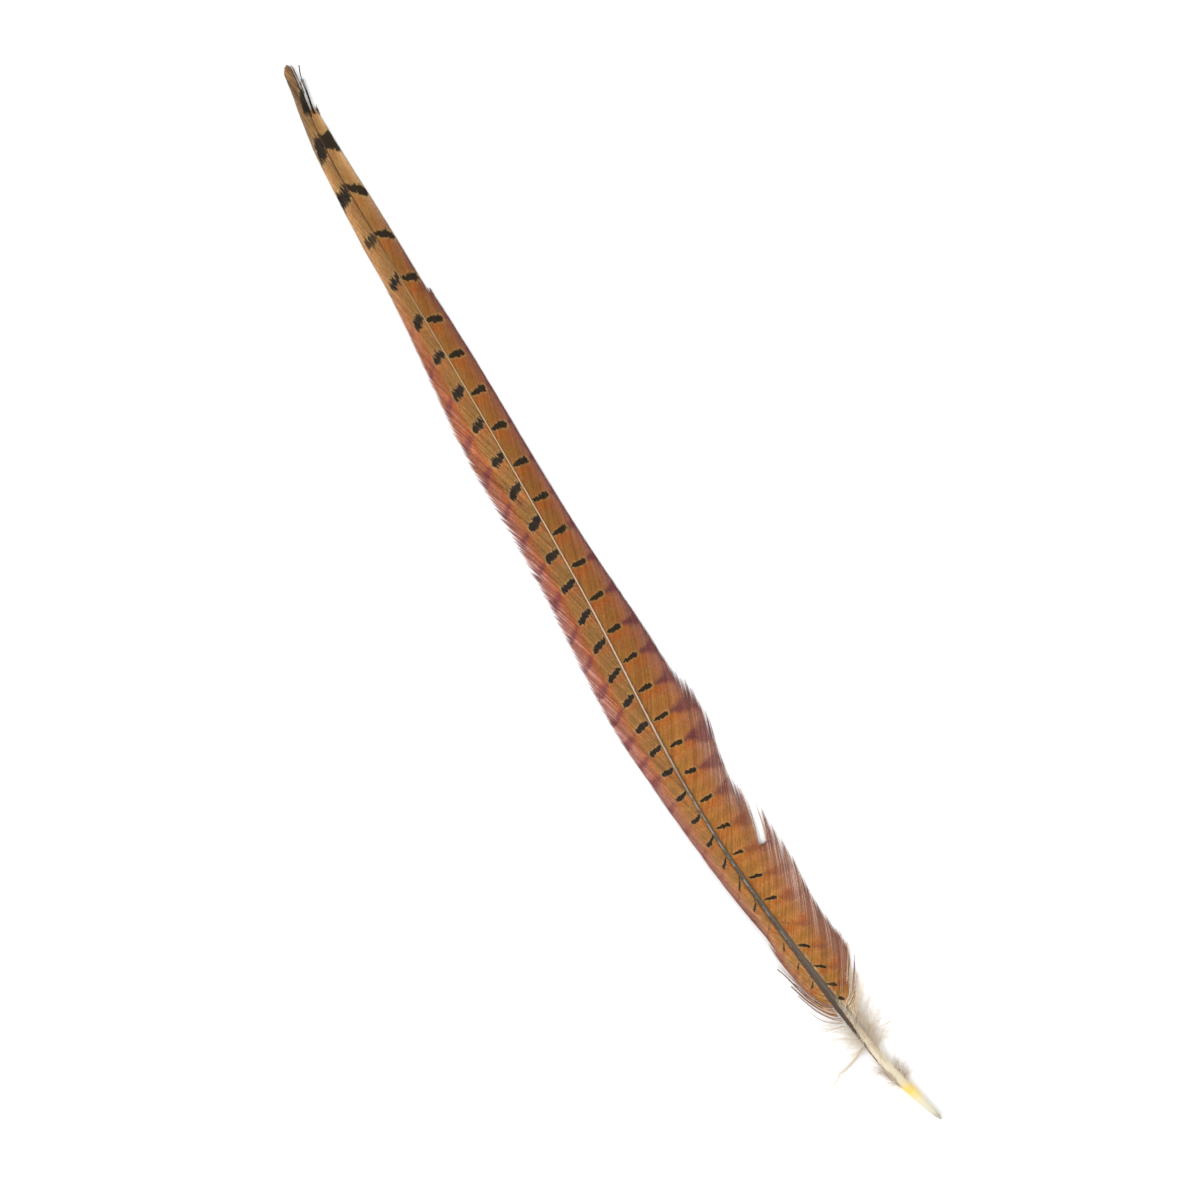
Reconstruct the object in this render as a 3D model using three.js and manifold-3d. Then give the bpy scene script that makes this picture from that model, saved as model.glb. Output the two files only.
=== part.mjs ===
// A pheasant's long tail feather, lying on a surface with its outer face up.
// Millimetres, +Z up. X runs from the quill end to the tip, and Y to the feather's left.
// The origin is on the surface, under the middle of the feather.
import * as THREE from 'three';
import { mergeVertices } from 'three/addons/utils/BufferGeometryUtils.js';
import Module from 'manifold-3d';

// Driving dimensions
const quillEndX = -240;
const tipX = 240;
const clearance = 0.3; // between neighbouring pieces
const leastWidth = 0.4; // of a vane where it runs out
const rachisDepth = 1.25; // the shaft's height over its width, past the quill
const quillDepth = 1;
const quillToRachisX = [-200, -150];
const vaneRootThickness = 1;
const vaneEdgeThickness = 0.6;
const downThickness = 1.2;
const steepestDroop = 0.5; // how far a vane drops towards its edge, over its width
const flatEdge = 1 / 7; // share of a vane's width that lies flat along its edge
const grooveDepth = 0.35; // along the underside of the rachis, over its half width

// Curves along the feather, as [x, value] pairs
const shaftSide = [[-240, -11], [-216, -5], [-200, -2.4], [-160, 1.75], [-120, 4.8], [-93, 5.3], [-66, 4.4],
  [2, -0.8], [80, -3.8], [166, -5.6], [202, -6.5], [212, -7.7], [220, -8.7], [230, -11], [240, -12.2]];
const shaftHalfWidth = [[-240, 0.3], [-238.5, 0.9], [-235, 1.3], [-221, 2.15], [-195, 1.85], [-160, 1.4],
  [-120, 0.88], [-40, 0.56], [80, 0.34], [224, 0.2], [240, 0.15]];
const shaftLift = [[-240, 0.7], [-228, 0], [-216, 0], [-195, 1.2], [-150, 3.4], [-90, 4.9], [-30, 5.2],
  [50, 4.4], [140, 2.7], [200, 1.4], [240, 0.5]];
const leftEdge = [[-186, 2.6], [-176, 7.6], [-166, 11.2], [-157, 12.7], [-149, 10.4], [-140, 9.9],
  [-101, 14.5], [-48, 17.6], [12, 13], [70, 10.7], [128, 3.9], [166, 1.2], [204, -2.1], [222, -5.4],
  [237, -8.6], [240, -10]];
const rightEdge = [[-184, -4], [-179, -9.5], [-173, -14], [-168, -16.2], [-155, -15.6], [-123, -16.2],
  [-85, -11.9], [-55, -17.6], [-37, -14.9], [21, -12.7], [108, -13.5], [136, -13], [140, -12.1],
  [219, -12.4], [222, -10.4], [240, -13]];
const leftDownEdge = [[-223, -2.2], [-217, 1.5], [-211, 5], [-207, 15.5], [-203, 7], [-196, 8.5], [-187, 14]];
const rightDownEdge = [[-223, -9.8], [-219, -13.6], [-214, -9], [-207, -12.5], [-199, -16.5], [-185, -13]];

// Splits in the vanes, as corners on the surface
const leftSplit = [[-176, 5.4], [-155.6, 10.4], [-150, 13], [-154.4, 12.2]];
const rightRootSplit = [[-182.2, -5.7], [-173, -10.8], [-169.4, -13.6], [-166, -17.5], [-168.1, -15.2],
  [-173.6, -12.2]];
const rightSplit = [[-112.6, -7.8], [-101.8, -11.8], [-94.4, -13], [-92, -16], [-99, -14.8], [-114, -11.8]];

// A smooth curve through the pairs, as a function of x
function curveThrough(pairs) {
  const places = pairs.map(([x]) => x);
  const values = pairs.map(([, value]) => value);
  const curve = new THREE.CubicInterpolant(places, values, 1);
  return (x) => curve.evaluate(x)[0];
}

const side = curveThrough(shaftSide);
const halfWidth = curveThrough(shaftHalfWidth);
const lift = curveThrough(shaftLift);

const halfDepth = (x) => {
  const share = THREE.MathUtils.smoothstep(x, ...quillToRachisX);
  return halfWidth(x) * THREE.MathUtils.lerp(quillDepth, rachisDepth, share);
};
const shaftMiddle = (x) => Math.max(0, lift(x)) + halfDepth(x);

// Moves every vertex to where the place function puts it
function shape(geometry, place) {
  const at = geometry.getAttribute('position');
  const point = new THREE.Vector3();
  for (let i = 0; i < at.count; i += 1) {
    point.fromBufferAttribute(at, i);
    place(point);
    at.setXYZ(i, point.x, point.y, point.z);
  }
  geometry.deleteAttribute('normal');
  geometry.deleteAttribute('uv');
  return mergeVertices(geometry);
}

function pieceMaterial(color, roughness) {
  return new THREE.MeshStandardMaterial({ color, roughness, metalness: 0 });
}

function namedPiece(name, geometry, material) {
  geometry.computeVertexNormals();
  const mesh = new THREE.Mesh(geometry, material);
  mesh.name = name;
  return mesh;
}

// The shaft: a lathe-turned taper, bent along its curves, with a groove under the rachis
function shaftGeometry() {
  const steps = 60;
  const profile = [new THREE.Vector2(0, quillEndX)];
  for (let i = 0; i <= steps; i += 1) {
    const share = i / steps;
    const x = THREE.MathUtils.lerp(quillEndX, tipX, share ** 1.15);
    profile.push(new THREE.Vector2(1, x));
  }
  profile.push(new THREE.Vector2(0, tipX));
  return shape(new THREE.LatheGeometry(profile, 12), (point) => {
    const x = point.y;
    const across = point.z;
    const up = point.x;
    const groove = THREE.MathUtils.smoothstep(x, ...quillToRachisX) * grooveDepth;
    const dip = up < 0 ? groove * Math.max(0, 1 - Math.abs(across) * 2) : 0;
    point.set(x, side(x) + across * halfWidth(x), shaftMiddle(x) + (up + dip) * halfDepth(x));
  });
}

// A web from the shaft's side out to an edge, drooping to the surface where it is wide enough.
// toLeft is 1 for the feather's left and -1 for its right.
function webGeometry({ from, to, edgePairs, toLeft, rows, columns, rootThickness, edgeThickness }) {
  const edge = curveThrough(edgePairs);
  return shape(new THREE.BoxGeometry(1, 1, 1, rows, columns, 1), (point) => {
    const x = THREE.MathUtils.lerp(from, to, point.x + 0.5);
    const across = toLeft * point.y + 0.5;
    const inner = side(x) + toLeft * (halfWidth(x) + clearance);
    const width = Math.max(leastWidth, toLeft * (edge(x) - inner));
    const rootHeight = Math.max(0, shaftMiddle(x) - rootThickness / 2);
    const droop = Math.min(rootHeight, width * steepestDroop);
    const fall = droop * THREE.MathUtils.smoothstep(across, 0, 1 - flatEdge);
    const thickness = THREE.MathUtils.lerp(rootThickness, edgeThickness, across);
    point.set(x, inner + toLeft * width * across, rootHeight - fall + (point.z + 0.5) * thickness);
  });
}

// Joins and cuts, on closed meshes with merged vertices
const wasm = await Module();
wasm.setup();

function solidOf(geometry) {
  return new wasm.Manifold(new wasm.Mesh({
    numProp: 3,
    vertProperties: new Float32Array(geometry.getAttribute('position').array),
    triVerts: new Uint32Array(geometry.index.array),
  }));
}

function geometryOf(solid) {
  const mesh = solid.getMesh();
  const geometry = new THREE.BufferGeometry();
  geometry.setAttribute('position', new THREE.BufferAttribute(mesh.vertProperties, 3));
  geometry.setIndex(new THREE.BufferAttribute(mesh.triVerts, 1));
  return geometry;
}

function cutSplits(geometry, splits) {
  const cutHeight = 12;
  let solid = solidOf(geometry);
  for (const corners of splits) {
    const outline = new THREE.Shape(corners.map(([x, y]) => new THREE.Vector2(x, y)));
    const wedge = new THREE.ExtrudeGeometry(outline, { depth: cutHeight, bevelEnabled: false });
    wedge.translate(0, 0, -1);
    solid = solid.subtract(solidOf(shape(wedge, () => {})));
  }
  return geometryOf(solid);
}

const vane = { rows: 84, columns: 7, rootThickness: vaneRootThickness, edgeThickness: vaneEdgeThickness };
const down = { rows: 18, columns: 4, rootThickness: downThickness, edgeThickness: downThickness };

const leftVane = cutSplits(
  webGeometry({ ...vane, from: -186, to: tipX, edgePairs: leftEdge, toLeft: 1 }),
  [leftSplit],
);
const rightVane = cutSplits(
  webGeometry({ ...vane, from: -184, to: tipX, edgePairs: rightEdge, toLeft: -1 }),
  [rightRootSplit, rightSplit],
);
const leftDown = webGeometry({ ...down, from: -223, to: -186 - clearance, edgePairs: leftDownEdge, toLeft: 1 });
const rightDown = webGeometry({ ...down, from: -223, to: -184 - clearance, edgePairs: rightDownEdge, toLeft: -1 });

const feather = new THREE.Group();
feather.add(
  namedPiece('shaft', shaftGeometry(), pieceMaterial(0x8d7f6c, 0.4)),
  namedPiece('left_vane', leftVane, pieceMaterial(0xb0713a, 0.7)),
  namedPiece('right_vane', rightVane, pieceMaterial(0xab6f3c, 0.7)),
  namedPiece('left_down', leftDown, pieceMaterial(0xe6d8c0, 0.9)),
  namedPiece('right_down', rightDown, pieceMaterial(0xe3d5bd, 0.9)),
);

export default feather;
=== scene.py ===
import math
import bpy
import numpy as np
from mathutils import Matrix, Vector


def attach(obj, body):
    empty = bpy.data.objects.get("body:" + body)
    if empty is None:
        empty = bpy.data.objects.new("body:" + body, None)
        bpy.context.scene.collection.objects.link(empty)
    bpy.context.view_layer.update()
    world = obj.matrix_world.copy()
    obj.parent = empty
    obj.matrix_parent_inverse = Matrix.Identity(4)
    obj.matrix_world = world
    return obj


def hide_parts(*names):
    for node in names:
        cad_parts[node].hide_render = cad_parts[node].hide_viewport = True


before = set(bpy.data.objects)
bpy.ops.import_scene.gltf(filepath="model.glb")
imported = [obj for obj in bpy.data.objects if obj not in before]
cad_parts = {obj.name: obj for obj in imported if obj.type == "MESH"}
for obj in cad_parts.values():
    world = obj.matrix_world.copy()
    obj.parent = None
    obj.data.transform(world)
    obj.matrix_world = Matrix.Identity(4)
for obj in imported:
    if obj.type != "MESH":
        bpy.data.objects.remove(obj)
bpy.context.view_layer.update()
bpy.ops.object.select_all(action="DESELECT")
scene = bpy.context.scene
mm = 0.001
chance = np.random.default_rng(41)
print("frame loaded")

# the feather's own lines, as [place along it, value] in millimetres
feather = {
    "quillEnd": -240.0,
    "tip": 240.0,
    "side": [[-240, -11], [-216, -5], [-200, -2.4], [-160, 1.75], [-120, 4.8], [-93, 5.3], [-66, 4.4],
             [2, -0.8], [80, -3.8], [166, -5.6], [202, -6.5], [212, -7.7], [220, -8.7], [230, -11],
             [240, -12.2]],
    "halfWidth": [[-240, 0.4], [-238.5, 1], [-235, 1.35], [-221, 2.15], [-195, 1.85], [-160, 1.4],
                  [-120, 0.88], [-40, 0.56], [80, 0.34], [224, 0.2], [240, 0.15]],
    "lift": [[-240, 0.7], [-228, 0], [-216, 0], [-195, 1.2], [-150, 3.4], [-90, 4.9], [-30, 5.2],
             [50, 4.4], [140, 2.7], [200, 1.4], [240, 0.5]],
    "rachisFrom": -200.0,  # between these two the round quill turns into the deeper rachis
    "rachisTo": -150.0,
    "rachisDepth": 1.25,
    "steepestDroop": 0.5,
    "webClear": 0.35,  # height of the web over the surface at its edge
}


def curveThrough(pairs):  # a smooth curve through the pairs, for one place or an array of them
    knots = np.array(pairs, float)
    slopes = np.diff(knots[:, 1]) / np.diff(knots[:, 0])
    tangents = np.concatenate((slopes[:1], (slopes[1:] + slopes[:-1]) / 2, slopes[-1:]))

    def value(x):
        x = np.clip(x, knots[0, 0], knots[-1, 0])
        at = np.clip(np.searchsorted(knots[:, 0], x, side="right") - 1, 0, len(slopes) - 1)
        gap = knots[at + 1, 0] - knots[at, 0]
        p = (x - knots[at, 0]) / gap
        start = (1 + 2 * p) * (1 - p) ** 2 * knots[at, 1] + p * (1 - p) ** 2 * gap * tangents[at]
        end = p * p * (3 - 2 * p) * knots[at + 1, 1] - p * p * (1 - p) * gap * tangents[at + 1]
        return start + end

    return value


def easeBetween(x, low, high):
    p = np.clip((x - low) / (high - low), 0, 1)
    return p * p * (3 - 2 * p)


shaftSide = curveThrough(feather["side"])
shaftHalf = curveThrough(feather["halfWidth"])
shaftLift = curveThrough(feather["lift"])


def shaftDepth(x):
    share = easeBetween(x, feather["rachisFrom"], feather["rachisTo"])
    return shaftHalf(x) * (1 + (feather["rachisDepth"] - 1) * share)


def shaftMiddle(x):
    return np.maximum(0, shaftLift(x)) + shaftDepth(x)


def stationOf(x):  # 0 at the quill's end, 1 at the tip
    return (x - feather["quillEnd"]) / (feather["tip"] - feather["quillEnd"])


def paint(red, green, blue):  # a screen colour as light values
    def light(value):
        value /= 255
        return value / 12.92 if value <= 0.04045 else ((value + 0.055) / 1.055) ** 2.4
    return (light(red), light(green), light(blue), 1.0)


def newNode(tree, kind, inputs, **settings):  # each input by its name or number, set or linked
    node = tree.nodes.new("ShaderNode" + kind)
    for name, value in settings.items():
        setattr(node, name, value)
    for name, value in inputs.items():
        if isinstance(value, Amount):
            value = value.socket
        if isinstance(value, bpy.types.NodeSocket):
            tree.links.new(value, node.inputs[name])
        else:
            node.inputs[name].default_value = value
    return node


def calc(tree, operation, *values, clamp=False):
    node = newNode(tree, "Math", dict(enumerate(values)), operation=operation, use_clamp=clamp)
    return Amount(tree, node.outputs[0])


class Amount:  # a number that varies over a surface: what is worked out with it becomes nodes
    def __init__(self, tree, socket):
        self.tree = tree
        self.socket = socket

    def __add__(self, other):
        return calc(self.tree, "ADD", self, other)

    def __sub__(self, other):
        return calc(self.tree, "SUBTRACT", self, other)

    def __rsub__(self, other):
        return calc(self.tree, "SUBTRACT", other, self)

    def __mul__(self, other):
        return calc(self.tree, "MULTIPLY", self, other)

    def __truediv__(self, other):
        return calc(self.tree, "DIVIDE", self, other)

    def __pow__(self, other):
        return calc(self.tree, "POWER", self, other)

    def __abs__(self):
        return calc(self.tree, "ABSOLUTE", self)

    def scaled(self, factor, added):
        return calc(self.tree, "MULTIPLY_ADD", self, factor, added)

    def atLeast(self, least):
        return calc(self.tree, "MAXIMUM", self, least)

    def step(self, low, high):  # eases from 0 at the first value to 1 at the second
        node = newNode(self.tree, "MapRange", {"Value": self, "From Min": low, "From Max": high},
                       interpolation_type="SMOOTHSTEP")
        return Amount(self.tree, node.outputs["Result"])

    def mix(self, *colours):  # the first of two colours where the number is 0, the second where it is 1
        first, second = (paint(*colour) if isinstance(colour, tuple) else colour for colour in colours)
        return newNode(self.tree, "Mix", {0: self, 6: first, 7: second}, data_type="RGBA").outputs[2]

    def ramp(self, stops):
        node = newNode(self.tree, "ValToRGB", {0: self})
        elements = node.color_ramp.elements
        while len(elements) < len(stops):
            elements.new(0.5)
        for element, (place, colour) in zip(elements, stops):
            element.position = place
            element.color = paint(*colour)
        return node.outputs[0]


def noise(tree, scale, detail):
    place = newNode(tree, "TexCoord", {}).outputs["Object"]
    node = newNode(tree, "TexNoise", {"Vector": place, "Scale": scale, "Detail": detail})
    return Amount(tree, node.outputs["Fac"])


def readValues(tree, name):  # the four numbers that a piece keeps at each point under this name
    kept = newNode(tree, "Attribute", {}, attribute_name=name).outputs
    parts = newNode(tree, "SeparateColor", {0: kept["Color"]}).outputs
    return [Amount(tree, socket) for socket in (*parts, kept["Alpha"])]


def startGroup(name, inputs):
    group = bpy.data.node_groups.new(name, "ShaderNodeTree")
    for label, value in inputs.items():
        socket = group.interface.new_socket(label, in_out="INPUT", socket_type="NodeSocketFloat")
        socket.default_value = value
    given = group.nodes.new("NodeGroupInput").outputs
    return group, [Amount(group, given[label]) for label in inputs]


def endGroup(group, results):
    for label in results:
        group.interface.new_socket(label, in_out="OUTPUT", socket_type="NodeSocketFloat")
    ends = group.nodes.new("NodeGroupOutput").inputs
    for label, value in results.items():
        group.links.new(value.socket, ends[label])
    return group


def useGroup(tree, group, values):
    node = newNode(tree, "Group", values, node_tree=group)
    return {socket.name: Amount(tree, socket) for socket in node.outputs}


def addBumps(tree, shader, height, strength, depth):
    bump = newNode(tree, "Bump", {"Strength": strength, "Distance": depth, "Height": height})
    tree.links.new(bump.outputs[0], shader.inputs["Normal"])


def newMaterial(name, roughness, specular, sheen=0.0):
    material = bpy.data.materials.new(name)
    material.use_nodes = True
    shader = material.node_tree.nodes["Principled BSDF"]
    shader.inputs["Roughness"].default_value = roughness
    shader.inputs["Specular IOR Level"].default_value = specular
    shader.inputs["Sheen Weight"].default_value = sheen
    shader.inputs["Sheen Roughness"].default_value = 0.45
    return material, material.node_tree, shader


def makeBarMark():  # a dark bar across the web, ragged where barb meets barb, and the pale rim round it
    group, (offset, distance, halfThick, halfLong, start, slant, club, hook, warp) = startGroup("barMark", {
        "Offset": 0.0, "Distance": 0.0, "Half Thickness": 1.0, "Half Length": 2.5, "Start": 0.8,
        "Slant": 0.4, "Club": 0.0, "Hook": 0.0, "Warp": 0.5})
    out = distance - (start + halfLong)
    across = out / halfLong
    shifted = offset + out * slant - hook * (1 - distance.step(0.0, 2.2))
    thick = halfThick * across.scaled(club, 1.0).atLeast(0.3)
    field = abs(shifted / thick) ** 2.4 + abs(across) ** 4.0 + (warp - 0.5) * 1.7
    return endGroup(group, {"Mark": 1 - field.step(0.88, 1.14), "Rim": 1 - field.step(1.2, 3.6),
                            "Beyond": out - halfLong, "Shifted": shifted})


def makeEdgePatch():  # a mauve cone that starts at a bar's outer end, widens and fades towards the web's edge
    group, (shifted, beyond, towardsTip, towardsQuill, warp) = startGroup("edgePatch", {
        "Shifted": 0.0, "Beyond": 0.0, "Towards Tip": 0.3, "Towards Quill": 1.2, "Warp": 0.5})
    spread = beyond.atLeast(0.0)
    place = shifted + (warp - 0.5) * 3.2
    high = spread.scaled(towardsTip, 0.4)
    low = spread.scaled(towardsQuill * -1.0, -0.4)
    above = 1 - place.step(high - 1.4, high + 1.3)
    below = place.step(low - 1.3, low + 1.4)
    start = beyond.step(-0.5, 1.0)
    fade = beyond.step(3.5, 9.0).scaled(-0.35, 1.0)
    return endGroup(group, {"Patch": above * below * (start * fade)})


barMark = makeBarMark()
edgePatch = makeEdgePatch()


fibre = {  # what both webs' finishes share
    "noises": {"coarse": (260.0, 3.0), "fine": (900.0, 2.0), "grain": (1400.0, 1.0), "bumps": (6000.0, 1.0)},
    "brightness": 0.955,
    "rimShare": 0.45,
}


def vaneMaterial(name, look):
    material, tree, shader = newMaterial(name, roughness=0.65, specular=look["gloss"], sheen=0.03)
    phase, distance, share, spacing = readValues(tree, "web")
    halfThick, halfLong, start, slant = readValues(tree, "mark")
    hue, along, strength, station = readValues(tree, "fibre")
    fraction = phase - calc(tree, "ROUND", phase)  # -0.5 to 0.5 from one bar's gap to the next, 0 on the bar
    coarse, fine, grain, bumps = (noise(tree, *size) for size in fibre["noises"].values())

    def tinted(ground, tint, amount):
        return (amount * look[tint + "Share"]).mix(ground, look[tint])

    # the ground colour, from the quill to the tip
    distal = station.step(*look["tipBlend"])
    basal = 1 - station.step(*look["quillBlend"])
    far = station.step(*look["emberBlend"])
    wavyShare = share + (coarse - 0.5) * 0.22
    ground = wavyShare.ramp(look["middle"])
    ground = basal.mix(ground, wavyShare.ramp(look["quillward"]))
    ground = tinted(ground, "ember", share.step(0.5, 0.8) * far)
    ground = distal.mix(ground, wavyShare.ramp(look["tipward"]))

    duskFrom = share.step(0.35, 0.9).scaled(0.035, station)
    streaks = hue.step(0.35, 0.8).scaled(-0.5, look["duskShare"])
    dusky = calc(tree, "MULTIPLY", duskFrom.step(*look["duskBlend"]), streaks, clamp=True)
    ground = dusky.mix(ground, look["dusk"])

    wispy = share.step(0.5, 0.85) * hue.step(0.5, 0.75) * station.step(*look["wispBlend"])
    ground = tinted(ground, "wisp", wispy * far.scaled(-0.8, 1.0))
    ground = tinted(ground, "beside", (1 - distance.step(0.4, 1.7)) * (1 - station.step(0.14, 0.22)))

    # rust on the quill side of each bar and olive on its tip side
    notTip = 1 - distal
    inner = (1 - share.step(0.45, 0.8)) * notTip.scaled(0.7, 0.3)
    ground = tinted(ground, "rust", (1 - abs(fraction + 0.2).step(0.02, 0.22)) * inner)
    ground = tinted(ground, "olive", (1 - abs(fraction - 0.32).step(0.02, 0.24)) * inner)

    hook = (1 - station.step(0.32, 0.38)) * look["hook"]
    bar = useGroup(tree, barMark, {
        "Offset": fraction * spacing, "Distance": distance, "Half Thickness": halfThick,
        "Half Length": halfLong, "Start": start, "Slant": slant, "Club": look["club"], "Hook": hook,
        "Warp": fine})
    patch = useGroup(tree, edgePatch, {
        "Shifted": bar["Shifted"], "Beyond": bar["Beyond"], "Towards Tip": look["patchTipward"],
        "Towards Quill": look["patchQuillward"], "Warp": coarse})["Patch"]
    patchHere = station.step(0.26, 0.38).scaled(0.55, 0.45) * look["patchShare"] * notTip
    ground = (patch * patchHere).mix(ground, look["patch"])
    ground = (bar["Rim"] * fibre["rimShare"] * strength).mix(ground, look["barRim"])
    marked = bar["Mark"] * strength
    colour = marked.mix(ground, look["bar"])

    # the barbs' own ends, and the pale root next to the down
    tipColour = station.step(*look["hairBlend"]).mix(look["rootHair"], look["hair"])
    hairHere = far.scaled(-look["hairFade"], 1.0) * look["hairShare"]
    colour = (along.step(0.86, 1.0) * hairHere).mix(colour, tipColour)
    downy = 1 - along.scaled(0.03, station).step(*look["downyBlend"])
    colour = calc(tree, "SUBTRACT", downy, marked, clamp=True).mix(colour, look["downy"])
    shade = hue.scaled(look["streak"], fibre["brightness"] - 0.5 * look["streak"])
    shade = shade * fine.scaled(0.4, 0.8) * grain.scaled(look["grain"], 1 - 0.5 * look["grain"])
    tone = newNode(tree, "HueSaturation", {"Hue": coarse.scaled(0.03, 0.485), "Value": shade,
                                           "Color": colour})
    tree.links.new(tone.outputs[0], shader.inputs["Base Color"])
    addBumps(tree, shader, bumps, strength=0.25, depth=0.0001)
    return material


def meshPiece(name, points, faces, material, values=None, bakePlaces=None):
    mesh = bpy.data.meshes.new(name)
    mesh.from_pydata((points * mm).tolist(), [], faces)
    for label, numbers in (values or {}).items():
        layer = mesh.attributes.new(label, "FLOAT_COLOR", "POINT")
        layer.data.foreach_set("color", numbers.astype(np.float32).ravel())
    if bakePlaces is not None:
        corners = np.empty(len(mesh.loops), np.int32)
        mesh.loops.foreach_get("vertex_index", corners)
        layer = mesh.uv_layers.new(name="OFBake")
        layer.data.foreach_set("uv", bakePlaces[corners].astype(np.float32).ravel())
    mesh.polygons.foreach_set("use_smooth", np.ones(len(mesh.polygons), bool))
    mesh.materials.append(material)
    mesh.update()
    piece = bpy.data.objects.new(name, mesh)
    scene.collection.objects.link(piece)
    return piece


def skinRings(rings):  # closed tubes over rings of points that turn from right to left over the top
    count, steps, sides = rings.shape[:3]
    ringStart = (np.arange(count)[:, None] * steps + np.arange(steps)[None, :]) * sides
    corner = np.arange(sides)
    after = (corner + 1) % sides
    low = ringStart[:, :-1, None]
    walls = np.stack((low + corner, low + after, low + after + sides, low + corner + sides), axis=-1)
    firstCaps = ringStart[:, :1] + corner[::-1]
    lastCaps = ringStart[:, -1:] + corner
    return rings.reshape(-1, 3), walls.reshape(-1, 4).tolist() + firstCaps.tolist() + lastCaps.tolist()


def crossDirections(paths, ups):
    ahead = np.gradient(paths, axis=1)
    ahead /= np.linalg.norm(ahead, axis=2, keepdims=True)
    across = np.cross(ups, ahead)
    across /= np.linalg.norm(across, axis=2, keepdims=True)
    return across, np.cross(ahead, across)


def ribbons(paths, ups, halfWidths, ridges, tilts):  # four-sided blades, their upper edges towards the tip
    across, up = crossDirections(paths, ups)
    wide = across * halfWidths[..., None]
    high = up * ridges[..., None]
    raised = up * (tilts * np.sign(across[..., 0]))[..., None]
    corners = (paths + wide + raised, paths + high, paths - wide - raised, paths - high)
    return skinRings(np.stack(corners, axis=2))


def hairs(paths, radii):  # three-sided
    across, up = crossDirections(paths, np.broadcast_to((0.0, 0.0, 1.0), paths.shape))
    wide = 0.87 * across * radii[..., None]
    high = up * radii[..., None]
    return skinRings(np.stack((paths + wide - high / 2, paths + high, paths - wide - high / 2), axis=2))


def perCorner(*numbers, sides=4):  # one row of four numbers for each point of every ring
    shape = np.broadcast_shapes(*(np.shape(n) for n in numbers))
    rows = np.stack([np.broadcast_to(n, shape) for n in numbers], axis=-1)
    return np.repeat(rows.reshape(-1, len(numbers)), sides, axis=0)


def joinFaces(first, second, offset):
    return first + [[corner + offset for corner in face] for face in second]


barbs = {  # the same in both webs, in millimetres
    "gap": 0.6,  # between their roots
    "steps": 14,
    "overlap": 1.6,  # a blade's width over the room it has, so that no floor shows between two
    "leastHalfWidth": 0.06,
    "ridge": 0.05,
    "tilt": 0.035,
    "leastHeight": 0.22,
    "innermost": -0.2,  # how far under the shaft a ruffled barb may go
    "tuck": 0.15,  # and how much further all go under its thin end, so that no slit shows
    "tuckBetween": (60, 180),
}
bakeSheet = {"from": -245.0, "to": 245.0, "width": 26, "strayRow": 0.9}

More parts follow.
